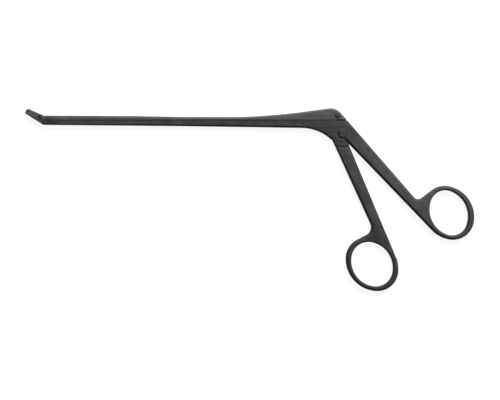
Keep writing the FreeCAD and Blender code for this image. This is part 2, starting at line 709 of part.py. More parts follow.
def make_slider():
    body = new_body("slider")
    fork_front = point(link.x - size.fork_wall, slider_floor)
    fork_top = point(fork_front.x, seam + size.slider_front_rise - size.fork_drop)
    fork_rear = point(jaw_pivot.x + size.fork_slot_rear, seam + size.slider_front_rise)
    second = point(-size.slider_second_reach, seam + size.slider_second_rise)
    waist_front = point(-size.waist_front_reach, seam + size.waist_rise)
    waist_rear = point(-size.waist_rear_reach, seam + size.waist_rise)
    ramp_middle = point(-size.ramp_middle_reach, seam + size.ramp_middle_rise)
    ramp_end = point(-size.ramp_end_reach, seam + size.ramp_end_rise)
    hump = point(-size.hump_reach, seam + size.hump_rise)
    back_end = on_line(back_corner, hump, slider_floor)
    outline = [
        Part.LineSegment(back_end, hump),
        Part.LineSegment(hump, ramp_end),
        Part.Arc(ramp_end, ramp_middle, waist_rear),
        Part.LineSegment(waist_rear, waist_front),
        Part.LineSegment(waist_front, second),
        Part.LineSegment(second, fork_rear),
        Part.LineSegment(fork_rear, fork_top),
        Part.LineSegment(fork_top, fork_front),
        Part.LineSegment(fork_front, back_end),
    ]
    pad(body, "side_outline", [outline], "sizes.body_thickness")
    pocket(body, "shaft_sides", side_cuts(fork_front.x - size.body_thickness), "sizes.jaw_pivot_reach",
           plane="XZ_Plane")
    fillet(body, "hump_corner", "sizes.hump_round",
           lambda edge, spot: upright(edge) and near(spot, hump.x, hump.y))
    fillet(body, "upper_edges", "sizes.slider_edge_round",
           lambda edge, spot: flat_side(spot) and spot.y > slider_floor + size.waist_rise / 2
           and edge.Length > size.slider_front_rise)
    dress(body, "Chamfer", "seam_edges", "Size", "sizes.seam_chamfer",
          lambda edge, spot: flat_side(spot) and abs(spot.y - slider_floor) < 1e-3)
    for name, reach in (("front_key", size.front_key_reach), ("rear_key", size.rear_key_reach)):
        add_guide_key(body, name, -reach)
    behind = size.back_corner + size.body_thickness
    pocket(body, "heel_relief", [rectangle(-size.heel_reach, behind, seam, seam + size.heel_gap)], THROUGH)
    cut_slider_slots(body, fork_front, behind)
    return body


def add_guide_key(body, name, front):
    """A T-shaped key under the slider that runs in the undercut slot of the lower shaft."""
    rear = front + size.key_length
    head_top = seam - size.key_neck_depth
    floor = head_top - size.key_head_depth
    pad(body, name + "_neck", [rectangle(front, rear, floor, slider_floor + size.key_root)], "sizes.key_neck")
    pad(body, name + "_head", [rectangle(front, rear, floor, head_top)], "sizes.key_head")


def cut_slider_slots(body, fork_front, hump_rear):
    """The fork at the jaw, the fork over the lever, and the holes for both pins."""
    ahead = fork_front.x - size.body_thickness
    under = seam - size.body_thickness
    above = seam + size.body_thickness
    pocket(body, "jaw_fork", [rectangle(ahead, jaw_pivot.x + size.fork_slot_rear, under, above)],
           "sizes.jaw_tongue + 2 * sizes.jaw_side_gap")
    step = jaw_pivot.x - size.fork_step
    narrow = size.fork_width / 2
    pocket(body, "fork_sides", [
        polygon(point(ahead, mid + side * narrow), point(step, mid + side * narrow),
                point(step, mid + side * size.shaft_width), point(ahead, mid + side * size.shaft_width))
        for side in (1, -1)
    ], "sizes.jaw_pivot_reach", plane="XZ_Plane")
    pocket(body, "link_hole", [circle(link, size.link_radius + size.rivet_fit)], THROUGH)
    roof = drive.Length + size.lever_end_radius + size.lever_clear
    pocket(body, "lever_fork", [rectangle(drive.x - size.lever_boss_radius, hump_rear, under, roof)],
           "sizes.lever_thickness + 2 * sizes.lever_side_gap")
    pocket(body, "drive_pin_hole", [circle(drive, size.drive_pin_radius + size.rivet_fit)], THROUGH)
    bore_up(body, "drive_head_seat", drive, size.drive_head_radius + size.rivet_fit,
            size.body_thickness - size.drive_head_depth)


# The upper jaw: a hinged cup with a thin tail between the two forks.

def make_upper_jaw():
    body = new_body("upper_jaw")
    low = size.parting_height + size.seam_gap
    high = size.parting_height + size.upper_jaw_thickness
    shoulder_low = at_jaw(size.shoulder_foot, low)
    shoulder_high = at_jaw(size.shoulder_top, high)
    tip_low = at_jaw(size.jaw_length, low)
    tip_high = at_jaw(size.jaw_length, high)
    pad(body, "cup", [polygon(shoulder_low, tip_low, tip_high, shoulder_high)], "sizes.cup_width")
    round_nose(body)
    hollow_cup(body, -size.upper_cup_lift)
    fillet(body, "upper_edges", "sizes.upper_jaw_round",
           lambda edge, spot: abs((spot - shoulder_high).dot(jaw_up)) < 1e-3 and not upright(edge))
    waist = [jaw_pivot + point(side * size.tail_half_width, size.tail_waist_rise) for side in (1, -1)]
    tail = polygon(
        at_jaw(size.shoulder_foot + size.tail_root, low), at_jaw(size.tail_front, high),
        at_jaw(size.tail_rear, high), link + point(size.tail_behind_link, 0), waist[0], jaw_pivot, waist[1],
    )
    pad(body, "tail", [tail], "sizes.jaw_tongue")
    pad(body, "pivot_boss", [circle(jaw_pivot, size.jaw_boss_radius)], "sizes.jaw_tongue")
    pocket(body, "pivot_bore", [circle(jaw_pivot, size.jaw_pivot_radius + size.running_fit)], THROUGH)
    radial = (link - jaw_pivot).normalize()
    near_end = size.link_rise - size.running_fit
    far_end = size.link_rise / math.cos(half_opening) + size.running_fit
    slot_radius = size.link_radius + size.running_fit
    pocket(body, "link_slot", [slot_outline(jaw_pivot + radial * near_end, jaw_pivot + radial * far_end,
                                            slot_radius, slot_radius)], THROUGH)
    return body


# Pins and the screw.

def cylinder(name, centre, radius, bottom, height):
    """A round bar along Z; its radius, floor and height are formulas in the sheet's names."""
    bar = doc.addObject("Part::Cylinder", name)
    bar.setExpression("Radius", radius)
    bar.setExpression("Height", height)
    bar.Placement.Base = centre
    bar.setExpression("Placement.Base.z", bottom)
    return bar


def join(kind, name, base, tool):
    joined = doc.addObject("Part::" + kind, name)
    joined.Base = base
    joined.Tool = tool
    return joined


def head(name, centre, radius, depth):
    """A round head let into the cheek, whose rim slopes where it stands out."""
    sunk = cylinder(name + "_sunk", centre, radius, "sizes.body_thickness - " + depth, depth)
    crown = doc.addObject("Part::Cone", name + "_crown")
    crown.setExpression("Radius1", radius)
    crown.setExpression("Radius2", radius + " - sizes.head_bevel")
    crown.setExpression("Height", "sizes.head_proud")
    crown.Placement.Base = centre
    crown.setExpression("Placement.Base.z", "sizes.body_thickness")
    return join("Fuse", name, sunk, crown)


def make_pins():
    """Two rivets at the jaw, and the headed pin and slotted screw at the handles."""
    shaft_low = MIDDLE + " - sizes.shaft_width / 2"
    jaw_pin = cylinder("jaw_pivot_pin", jaw_pivot, "sizes.jaw_pivot_radius", shaft_low, "sizes.shaft_width")
    link_pin = cylinder("jaw_link_pin", link, "sizes.link_radius", MIDDLE + " - sizes.fork_width / 2",
                        "sizes.fork_width")
    drive_shank = cylinder("drive_shank", drive, "sizes.drive_pin_radius", "sizes.end_gap",
                           "sizes.body_thickness - sizes.end_gap - sizes.drive_head_depth / 2")
    drive_head = head("drive_head", drive, "sizes.drive_head_radius", "sizes.drive_head_depth")
    drive_pin = join("Fuse", "slider_drive_pin", drive_shank, drive_head)
    screw_end = "sizes.screw_floor + sizes.end_gap"
    screw_shank = cylinder("screw_shank", pivot, "sizes.pivot_radius", screw_end,
                           f"sizes.body_thickness - ({screw_end}) - sizes.pivot_head_depth / 2")
    screw_head = head("screw_head", pivot, "sizes.pivot_head_radius", "sizes.pivot_head_depth")
    screw_blank = join("Fuse", "screw_blank", screw_shank, screw_head)
    cutter = doc.addObject("Part::Box", "driver_slot")
    cutter.setExpression("Length", "sizes.pivot_head_radius * 4")
    cutter.setExpression("Width", "sizes.screw_slot_width")
    cutter.setExpression("Height", "sizes.body_thickness")
    cutter.setExpression("Placement.Base.x", "-sizes.pivot_head_radius * 2")
    cutter.setExpression("Placement.Base.y", "-sizes.screw_slot_width / 2")
    cutter.setExpression("Placement.Base.z",
                         "sizes.body_thickness + sizes.head_proud - sizes.screw_slot_depth")
    screw = join("Cut", "handle_pivot_screw", screw_blank, cutter)
    return [jaw_pin, link_pin, drive_pin, screw]


pieces = [make_fixed_half(), make_finger_handle(), make_slider(), make_upper_jaw()] + make_pins()
doc.recompute()

failed = [item.Name for item in doc.Objects if {"Invalid", "Error"} & set(item.State)]
if failed:
    raise RuntimeError("failed objects: " + ", ".join(failed))
for piece in pieces:
    if piece.Shape.isNull() or not piece.Shape.isValid() or len(piece.Shape.Solids) != 1:
        raise RuntimeError(piece.Label + " is not one valid solid")

os.makedirs("parts", exist_ok=True)
for piece in pieces:
    piece.Shape.exportStep(os.path.join("parts", piece.Label + ".step"))
    box = piece.Shape.BoundBox
    print(f"{piece.Label}: {piece.Shape.Volume:.2f} mm3, {len(piece.Shape.Faces)} faces, "
          f"x {box.XMin:.2f} {box.XMax:.2f}, y {box.YMin:.2f} {box.YMax:.2f}, "
          f"z {box.ZMin:.2f} {box.ZMax:.2f}")
print(f"slider travel {travel:.3f} mm, handle opening {math.degrees(handle_opening):.2f} degrees")
print(f"jaw pivot {jaw_pivot.x:.3f} {jaw_pivot.y:.3f}, link {link.x:.3f} {link.y:.3f}")
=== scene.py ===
# %% [markdown]
# # A bone rongeur in black-coated steel
# The instrument lies flat and is seen from straight above. It has eight pieces: the thumb handle with the lower
# shaft, the finger handle, the slider, the hinged upper jaw, two small rivets, the drive pin and the pivot screw.
# Their shapes come from the solid model, so this lesson is about finish and light: how a dark satin coating,
# ground rivets and a turned screw head are told apart when all of them are nearly black.
#
# The solid model is loaded first. Each piece arrives at its real place, in metres.

# %% Load the solids
import math

import bpy
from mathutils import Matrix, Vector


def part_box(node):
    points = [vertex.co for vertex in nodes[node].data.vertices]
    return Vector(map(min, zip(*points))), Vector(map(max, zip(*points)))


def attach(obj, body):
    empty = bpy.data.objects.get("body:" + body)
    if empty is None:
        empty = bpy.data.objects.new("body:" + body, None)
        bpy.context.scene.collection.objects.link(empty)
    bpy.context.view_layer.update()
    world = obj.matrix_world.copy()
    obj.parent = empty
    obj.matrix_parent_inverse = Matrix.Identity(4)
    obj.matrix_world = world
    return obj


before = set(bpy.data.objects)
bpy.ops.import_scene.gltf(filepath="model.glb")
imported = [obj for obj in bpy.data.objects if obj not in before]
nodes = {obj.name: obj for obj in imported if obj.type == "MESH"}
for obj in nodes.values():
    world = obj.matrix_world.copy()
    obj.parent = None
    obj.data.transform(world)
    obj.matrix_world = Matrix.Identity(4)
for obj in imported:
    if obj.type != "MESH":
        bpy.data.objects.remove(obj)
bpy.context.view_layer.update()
print("pieces:", sorted(nodes))

# %% [markdown]
# ## Smooth roundings, crisp edges
# The solids come as flat, loose triangles. A forged and polished handle shows its roundings as soft bands, while the
# edges along the sliding seam stay sharp. Shading every triangle smooth would smear the flat sides, and shading none
# would show facets. Smoothing by angle keeps both: neighbours that differ by less than 25 degrees blend. A modifier
# made of a few nodes does it. It joins the loose triangles first, and leaves the mesh itself alone.

# %% Smooth by angle
SMOOTH_ANGLE = math.radians(25)
JOIN_DISTANCE = 0.000001


def smoothing_nodes():
    group = bpy.data.node_groups.new("smooth_roundings", "GeometryNodeTree")
    group.interface.new_socket("Mesh", in_out="INPUT", socket_type="NodeSocketGeometry")
    group.interface.new_socket("Mesh", in_out="OUTPUT", socket_type="NodeSocketGeometry")
    way_in = group.nodes.new("NodeGroupInput")
    way_out = group.nodes.new("NodeGroupOutput")
    join = group.nodes.new("GeometryNodeMergeByDistance")
    join.inputs["Distance"].default_value = JOIN_DISTANCE
    faces = group.nodes.new("GeometryNodeSetShadeSmooth")
    edges = group.nodes.new("GeometryNodeSetShadeSmooth")
    edges.domain = "EDGE"
    angle = group.nodes.new("GeometryNodeInputMeshEdgeAngle")
    small = group.nodes.new("FunctionNodeCompare")
    small.operation = "LESS_THAN"
    small.inputs[1].default_value = SMOOTH_ANGLE
    group.links.new(angle.outputs["Unsigned Angle"], small.inputs[0])
    group.links.new(way_in.outputs["Mesh"], join.inputs["Geometry"])
    group.links.new(join.outputs["Geometry"], faces.inputs[0])
    group.links.new(faces.outputs[0], edges.inputs[0])
    group.links.new(small.outputs["Result"], edges.inputs["Shade Smooth"])
    group.links.new(edges.outputs[0], way_out.inputs["Mesh"])
    return group


smooth_roundings = smoothing_nodes()
for name, piece in nodes.items():
    modifier = piece.modifiers.new("smooth_roundings", "NODES")
    modifier.node_group = smooth_roundings
    print(name, len(piece.data.polygons), "triangles")

# %% [markdown]
# ## The round lower edge of the cheeks
# Between the two arms the cheeks of the body end in an arc round the pivot, and the finger handle is hollowed to
# the same centre, so the two stay a hair apart while the handle swings. The solids end in a straight edge there,
# so each cheek gets a lip that fills the arc. It could be drawn as an outline point by point, but it is simpler to
# cut it out of a disc, as a turner would: the disc already has the right round edge, and three straight cuts and
# the seat of the screw head leave the lip. It is set a hundredth of a millimetre under the flat side of the body,
# so the two flat faces never lie in one plane.

# %% Cut the lips from discs
PIVOT_TO_EDGE = 0.0077
LIP_THICKNESS = 0.00134
BODY_THICKNESS = 0.0052
UNDER_FLAT = 0.00001
SCREW_SEAT = 0.00293
SEAT_CUTTER_LENGTH = 0.004
# A point on each cut, and the direction of the side that it takes away: the top, the thumb arm's side, the front.
CUTS = (
    ((0, -0.0024, 0), (0, 1, 0)),
    ((0.0017, -0.0041, 0), (0.752, 0.659, 0)),
    ((-0.00547, -0.0032, 0), (-0.934, -0.357, 0)),
)


def deselect_all():
    for item in bpy.context.selected_objects:
        item.select_set(False)


def select_only(piece):
    deselect_all()
    piece.select_set(True)
    bpy.context.view_layer.objects.active = piece


def cut_disc():
    """Makes the three cuts in the disc that is active."""
    bpy.ops.object.mode_set(mode="EDIT")
    for through, away in CUTS:
        bpy.ops.mesh.select_all(action="SELECT")
        bpy.ops.mesh.bisect(plane_co=through, plane_no=away, use_fill=True, clear_outer=True)
    bpy.ops.mesh.select_all(action="SELECT")
    bpy.ops.mesh.normals_make_consistent(inside=False)
    bpy.ops.object.mode_set(mode="OBJECT")


def cut_screw_seat(lip):
    deselect_all()
    size = {"radius": SCREW_SEAT, "depth": SEAT_CUTTER_LENGTH}
    bpy.ops.mesh.primitive_cylinder_add(vertices=128, location=(0, 0, BODY_THICKNESS), **size)
    cutter = bpy.context.object
    seat = lip.modifiers.new("screw_seat", "BOOLEAN")
    seat.operation = "DIFFERENCE"
    seat.object = cutter
    select_only(lip)
    bpy.ops.object.modifier_apply(modifier="screw_seat")
    bpy.data.objects.remove(cutter)


def cheek_lip(name, middle_height):
    deselect_all()
    size = {"radius": PIVOT_TO_EDGE, "depth": LIP_THICKNESS}
    bpy.ops.mesh.primitive_cylinder_add(vertices=256, location=(0, 0, middle_height), **size)
    bpy.ops.object.transform_apply(location=True, rotation=True, scale=True)
    lip = bpy.context.object
    lip.name = name
    cut_disc()
    return lip


upper_lip = cheek_lip("cheek_lip_upper", BODY_THICKNESS - UNDER_FLAT - LIP_THICKNESS / 2)
cut_screw_seat(upper_lip)
lower_lip = cheek_lip("cheek_lip_lower", UNDER_FLAT + LIP_THICKNESS / 2)
lips = [upper_lip, lower_lip]
for lip in lips:
    select_only(lip)
    bpy.ops.object.shade_smooth_by_angle(angle=SMOOTH_ANGLE)
    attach(lip, "thumb_handle")
    print(lip.name, [round(side * 1000, 2) for side in lip.dimensions], "mm")

# %% [markdown]
# ## The web under the heel
# Behind the drive pin the slider is relieved along the seam. The relief of the solid is open from side to side, so
# the white table would show through its rear end. A web on the far side closes it: a small box that lies a little
# above the lower shaft and reaches a little into the slider.

# %% Close the relief
SEAM = 0.0079
SEAM_CLEAR = 0.00005
RELIEF = 0.00045
WEB_BOX = ((-0.0035, SEAM + SEAM_CLEAR, 0.0004), (0.0023, SEAM + RELIEF + SEAM_CLEAR, 0.0012))


def box_piece(name, low, high):
    deselect_all()
    middle = [(start + end) / 2 for start, end in zip(low, high)]
    bpy.ops.mesh.primitive_cube_add(size=1, location=middle)
    piece = bpy.context.object
    piece.name = name
    piece.scale = [end - start for start, end in zip(low, high)]
    bpy.ops.object.transform_apply(location=True, rotation=True, scale=True)
    return piece


heel_web = box_piece("heel_web", *WEB_BOX)
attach(heel_web, "slider")
print(heel_web.name, [round(side * 1000, 2) for side in heel_web.dimensions], "mm")

# %% [markdown]
# ## The black satin coating
# The coating on such an instrument is a hard black layer over bead-blasted steel. It is dark grey rather than
# black, because the blasted surface scatters light, and it carries three kinds of detail. The blasting leaves a
# very fine grain, a few hundredths of a millimetre high. Wiping and hand polishing leave long, faint streaks. And
# the layer is a little uneven, so there are cloudy patches a few millimetres wide. Where hands and trays rub, on
# the outer corners, the layer is thinner and the steel shines through a little lighter.
#
# One material could be painted as an image, but noise textures in the object's own coordinates stay in scale on
# every piece and follow it when it moves. A few helpers build the parts that all the finishes share.

# %% Helpers for node materials
def new_material(name):
    material = bpy.data.materials.new(name)
    material.use_nodes = True
    tree = material.node_tree
    shader = tree.nodes["Principled BSDF"]
    return material, tree, shader


def place(tree, kind, **settings):
    node = tree.nodes.new(kind)
    for key, value in settings.items():
        setattr(node, key, value)
    return node


def feed(tree, socket, value):
    """Links the output of a node to the socket, or writes a number or a vector in it."""
    if isinstance(value, bpy.types.NodeSocket):
        tree.links.new(value, socket)
    else:
        socket.default_value = value


def noise(tree, vector, scale, detail=3.0, roughness=0.5):
    texture = place(tree, "ShaderNodeTexNoise")
    texture.inputs["Scale"].default_value = scale
    texture.inputs["Detail"].default_value = detail
    texture.inputs["Roughness"].default_value = roughness
    tree.links.new(vector, texture.inputs["Vector"])
    return texture.outputs["Fac"]


def span(tree, value, low, high, to_low, to_high):
    """Maps a value from one range to another, and holds it at the ends."""
    node = place(tree, "ShaderNodeMapRange")
    for socket, number in zip(("From Min", "From Max", "To Min", "To Max"), (low, high, to_low, to_high)):
        node.inputs[socket].default_value = number
    tree.links.new(value, node.inputs["Value"])
    return node.outputs["Result"]


def math_node(tree, operation, a, b):
    node = place(tree, "ShaderNodeMath", operation=operation)
    feed(tree, node.inputs[0], a)
    feed(tree, node.inputs[1], b)
    return node.outputs["Value"]


def dot_product(tree, a, b):
    node = place(tree, "ShaderNodeVectorMath", operation="DOT_PRODUCT")
    feed(tree, node.inputs[0], a)
    feed(tree, node.inputs[1], b)
    return node.outputs["Value"]


def colour_mix(tree, factor, start, end):
    """From one colour to another. Each is three numbers, or the output of a node."""
    mix = place(tree, "ShaderNodeMix", data_type="RGBA")
    tree.links.new(factor, mix.inputs["Factor"])
    for socket, colour in (("A", start), ("B", end)):
        feed(tree, mix.inputs[socket], (*colour, 1) if isinstance(colour, tuple) else colour)
    return mix.outputs["Result"]


def add_bump(tree, shader, height, strength, distance):
    bump = place(tree, "ShaderNodeBump")
    bump.inputs["Strength"].default_value = strength
    bump.inputs["Distance"].default_value = distance
    tree.links.new(height, bump.inputs["Height"])
    tree.links.new(bump.outputs["Normal"], shader.inputs["Normal"])


print("helpers ready")

# %% [markdown]
# Two masks come from the shape itself. Where a finger or a tray rubs, the sharp corners are worn, and where two
# pieces meet, shade is painted black into the gap. The Bevel node gives the normal that the surface would have
# with its corners rounded, so it leaves the true normal only near a corner. The Ambient Occlusion node counts how
# much of the open air a point sees within a short distance, which is little inside a gap, and there the painted
# shade goes in. Both look at the real geometry, so they need no image and hold for every piece.

# %% Worn corners and painted gap shade
WEAR_RADIUS = 0.0003
# How far the painted gap shade reaches, and its black.
PAINTED_SHADE_REACH = 0.0014
PAINTED_SHADE_BLACK = (0.004, 0.004, 0.004)
WORN_STEEL = (0.15, 0.15, 0.155)


def worn_corners(tree, radius):
    """One at a corner, falling to zero on open faces."""
    rounded = place(tree, "ShaderNodeBevel", samples=6)
    rounded.inputs["Radius"].default_value = radius
    geometry = place(tree, "ShaderNodeNewGeometry")
    same = dot_product(tree, rounded.outputs["Normal"], geometry.outputs["Normal"])
    return span(tree, same, 0.80, 0.97, 1.0, 0.0)


def unshaded_by_gaps(tree, reach):
    """One on open faces, falling to zero inside a gap, where shade is painted."""
    shade = place(tree, "ShaderNodeAmbientOcclusion", samples=12)
    shade.inputs["Distance"].default_value = reach
    return span(tree, shade.outputs["AO"], 0.5, 1.0, 0.0, 1.0)


# Wear lightens the corners, and shade is painted black into the gaps.
def wear_and_painted_gap_shade(tree, colour, wear, reach=PAINTED_SHADE_REACH):
    worn = math_node(tree, "MULTIPLY", worn_corners(tree, WEAR_RADIUS), wear)
    steel = colour_mix(tree, worn, colour, WORN_STEEL)
    return colour_mix(tree, unshaded_by_gaps(tree, reach), PAINTED_SHADE_BLACK, steel)


print("corner radius", WEAR_RADIUS, "gap reach", PAINTED_SHADE_REACH)

# %% [markdown]
# The streaks are noise that is stretched eight times along the piece. A Mapping node of the texture kind turns the
# pattern first and stretches it after, so its angle is the direction of the piece's length. The fixed half is one
# forging with two directions, the shaft's and the thumb arm's, so its pattern changes from one to the other behind
# the pivot.

# %% Streaks along the pieces
STREAK_WIDTH = 0.12
ARM_STARTS = 0.004


def along(tree, coordinates, degrees):
    turn = place(tree, "ShaderNodeMapping", vector_type="TEXTURE")
    turn.inputs["Rotation"].default_value = (0, 0, math.radians(degrees))
    turn.inputs["Scale"].default_value = (1, STREAK_WIDTH, STREAK_WIDTH)
    tree.links.new(coordinates, turn.inputs["Vector"])
    return turn.outputs["Vector"]


def axes_of(tree, coordinates):
    parts = place(tree, "ShaderNodeSeparateXYZ")
    tree.links.new(coordinates, parts.inputs["Vector"])
    return parts.outputs


def shaft_then_arm(tree, coordinates, shaft_degrees, arm_degrees):
    on_arm = math_node(tree, "GREATER_THAN", axes_of(tree, coordinates)["X"], ARM_STARTS)
    both = place(tree, "ShaderNodeMix", data_type="VECTOR")
    tree.links.new(on_arm, both.inputs["Factor"])
    tree.links.new(along(tree, coordinates, shaft_degrees), both.inputs["A"])
    tree.links.new(along(tree, coordinates, arm_degrees), both.inputs["B"])
    return both.outputs["Result"]


print("streaks:", STREAK_WIDTH, "of their length, the arm starts at", ARM_STARTS)

# %% [markdown]
# Use has left its marks on the black. Handling has made it lighter along the thumb arm and on the jaw. Shade is
# painted on the roundings that face the front lower side, away from the key lamp, and draws the dark bands along
# the arms; it fades out towards the jaws. Shade is also painted black in the relief under the heel of the slider
# and in a thin line along the seam in front of it. Each mark is a mask from the place or the direction of a point
# on the piece.

# %% Marks of use and painted shade
HAND_POLISH = 0.4
ARM_FADE = 0.022
JAW_STARTS = -0.176
JAW_FADE = 0.006


def polished_ends(tree, coordinates):
    """Zero on the shaft, rising along the thumb arm and on the jaw."""
    x = axes_of(tree, coordinates)["X"]
    arm = span(tree, x, ARM_STARTS, ARM_STARTS + ARM_FADE, 0.0, HAND_POLISH)
    jaw = span(tree, x, JAW_STARTS - JAW_FADE, JAW_STARTS, HAND_POLISH, 0.0)
    return math_node(tree, "ADD", arm, jaw)


# The painted seam shade: its height, and how far it reaches from the seam.
SEAM_SHADE_HEIGHT = SEAM + SEAM_CLEAR
RELIEF_SHADE_WIDTH = 0.00035
SEAM_SHADE_WIDTH = 0.00012
SEAM_SHADE_SOFT_EDGE = 0.0001
RELIEF_FRONT = -0.0040


def painted_seam_shade(tree, coordinates):
    """Painted shade: one in the relief under the heel, and in a thin line on the seam that fades out in front of it.
    """
    axes = axes_of(tree, coordinates)
    from_seam = math_node(tree, "ABSOLUTE", math_node(tree, "SUBTRACT", axes["Y"], SEAM_SHADE_HEIGHT), 0.0)
    thick = span(tree, from_seam, RELIEF_SHADE_WIDTH, RELIEF_SHADE_WIDTH + SEAM_SHADE_SOFT_EDGE, 1.0, 0.0)
    under_heel = span(tree, axes["X"], RELIEF_FRONT - 0.0004, RELIEF_FRONT, 0.0, 1.0)
    thin = span(tree, from_seam, SEAM_SHADE_WIDTH, SEAM_SHADE_WIDTH + SEAM_SHADE_SOFT_EDGE, 1.0, 0.0)
    fading = span(tree, axes["X"], RELIEF_FRONT - 0.022, RELIEF_FRONT - 0.010, 0.0, 1.0)
    in_relief = math_node(tree, "MULTIPLY", thick, under_heel)
    return math_node(tree, "MAXIMUM", in_relief, math_node(tree, "MULTIPLY", thin, fading))


# The side that faces away from the key lamp, where shade is painted, and its black.
SHADED_SIDE = (-0.75, -0.66, 0)
SIDE_SHADE_BLACK = (0.022, 0.022, 0.0225)
# Where the painted side shade fades out towards the jaws.
SIDE_SHADE_ENDS = -0.15
SIDE_SHADE_FULL_FROM = -0.09


def painted_side_shade(tree, colour, coordinates, normal):
    """The colour, with shade painted blacker on the roundings that face the front lower side, fading out towards the
    jaws.
    """
    turned_away = span(tree, dot_product(tree, normal, SHADED_SIDE), 0.01, 0.4, 0.0, 1.0)
    behind_jaws = span(tree, axes_of(tree, coordinates)["X"], SIDE_SHADE_ENDS, SIDE_SHADE_FULL_FROM, 0.0, 1.0)
    return colour_mix(tree, math_node(tree, "MULTIPLY", turned_away, behind_jaws), colour, SIDE_SHADE_BLACK)


# Prints the polish, the height of the painted seam shade and the side on which shade is painted.
print("polish", HAND_POLISH, "oil at", SEAM_SHADE_HEIGHT, "unrubbed side", SHADED_SIDE)

# %% [markdown]
# The coating itself: its colour comes from the patches, the streaks and some fine specks, its roughness from the
# same streaks, and its height from the blasted grain. The scales are the number of noise cells in a metre.

# %% The coating
PATCHES = 110
STREAKS = 75
SPECKS = 1700
GRAIN = 5200
GRAIN_HEIGHT = 0.00003


def coated_steel(name, degrees, dark, light, roughness, gloss, wear=0.3, reach=PAINTED_SHADE_REACH):
    """Degrees gives the direction of the length, or the two directions of the fixed half."""
    material, tree, shader = new_material(name)
    source = place(tree, "ShaderNodeTexCoord")
    coordinates = source.outputs["Object"]
    if len(degrees) == 2:
        lengthwise = shaft_then_arm(tree, coordinates, *degrees)
    else:
        lengthwise = along(tree, coordinates, *degrees)
    patches = noise(tree, coordinates, PATCHES, detail=4.0, roughness=0.62)
    streaks = noise(tree, lengthwise, STREAKS)
    specks = noise(tree, coordinates, SPECKS, detail=1.0)
    tone = math_node(
        tree, "ADD", span(tree, patches, 0.36, 0.66, 0.0, 0.55), span(tree, streaks, 0.35, 0.65, 0.0, 0.35)
    )
    tone = math_node(tree, "ADD", tone, span(tree, specks, 0.62, 0.74, 0.0, 0.25))
    if len(degrees) == 2:
        tone = math_node(tree, "ADD", tone, polished_ends(tree, coordinates))
    # Wear lightens the corners; shade is painted black into the gaps, on the roundings facing the front lower side,
    # and along the seam.
    colour = wear_and_painted_gap_shade(tree, colour_mix(tree, tone, dark, light), wear, reach)
    colour = painted_side_shade(tree, colour, coordinates, source.outputs["Normal"])
    colour = colour_mix(tree, painted_seam_shade(tree, coordinates), colour, PAINTED_SHADE_BLACK)
    tree.links.new(colour, shader.inputs["Base Color"])
    tree.links.new(span(tree, streaks, 0.3, 0.7, roughness - 0.06, roughness + 0.06), shader.inputs["Roughness"])
    shader.inputs["Metallic"].default_value = 0.0
    shader.inputs["IOR"].default_value = 1.5
    shader.inputs["Specular IOR Level"].default_value = gloss
    add_bump(tree, shader, noise(tree, coordinates, GRAIN, detail=2.0), 0.35, GRAIN_HEIGHT)
    return material


print("cells in a metre:", PATCHES, STREAKS, SPECKS, GRAIN)

# %% [markdown]
# The same coating differs a little from piece to piece. The slider is rubbed brighter than the handles, since a
# finger steadies it, and the upper jaw is the lightest. On the finger handle and the lips the painted gap shade
# reaches less far, so the narrow gap between them shows only a thin dark line.

# %% The coatings of the large pieces
DARK = (0.031, 0.0315, 0.033)
LIGHT = (0.086, 0.087, 0.091)
SLIDER_DARK = (0.044, 0.0445, 0.046)
SLIDER_LIGHT = (0.106, 0.107, 0.111)
JAW_DARK = (0.060, 0.0605, 0.063)
JAW_LIGHT = (0.100, 0.101, 0.105)
BLASTED_GLOSS = 0.12
SLIDER_GLOSS = 0.4
SATIN = 0.45
SLIDER_SATIN = 0.4
# Shorter reaches of the painted gap shade.
NARROW_SHADE_REACH = 0.0004
JAW_SHADE_REACH = 0.0006
SHAFT_AND_ARM = (0, -50)
handles = (DARK, LIGHT, SATIN, BLASTED_GLOSS)
coating = {
    "thumb_handle_and_shaft": coated_steel("coated_fixed_half", SHAFT_AND_ARM, *handles),
    "finger_handle": coated_steel("coated_finger_handle", (-66,), *handles, reach=NARROW_SHADE_REACH),
    "slider": coated_steel("coated_slider", (0,), SLIDER_DARK, SLIDER_LIGHT, SLIDER_SATIN, SLIDER_GLOSS),
    "upper_jaw": coated_steel(
        "coated_upper_jaw", (156,), JAW_DARK, JAW_LIGHT, SATIN, BLASTED_GLOSS, wear=0.05, reach=JAW_SHADE_REACH
    ),
}
lip_coating = coated_steel("coated_cheek_lips", SHAFT_AND_ARM, *handles, wear=0.0, reach=NARROW_SHADE_REACH)
print("coatings:", [material.name for material in coating.values()])

# %% [markdown]
# ## Rivets, pin and screw
# The rivets and the drive pin are ground off after they are set, and the screw head is turned on a lathe. Grinding
# leaves straight scratches, and turning leaves rings round the axis. The two heads slope at their rims. That slope
# is made a little darker all round, and shade is painted black in a crescent on its front lower side, away from
# the key lamp.

# %% Ground and turned steel
SCRATCHES = 900
RINGS = 1600
RING_HEIGHT = 0.00002
RUBBED_GLOSS = 0.25
RIM_WIDTH = 0.0008


def ground_steel(name, dark, light):
    material, tree, shader = new_material(name)
    coordinates = place(tree, "ShaderNodeTexCoord").outputs["Object"]
    scratches = noise(tree, along(tree, coordinates, 35), SCRATCHES)
    steel = colour_mix(tree, span(tree, scratches, 0.35, 0.65, 0, 1), dark, light)
    tree.links.new(wear_and_painted_gap_shade(tree, steel, 0.1), shader.inputs["Base Color"])
    tree.links.new(span(tree, scratches, 0.3, 0.7, 0.26, 0.4), shader.inputs["Roughness"])
    shader.inputs["Metallic"].default_value = 1.0
    return material


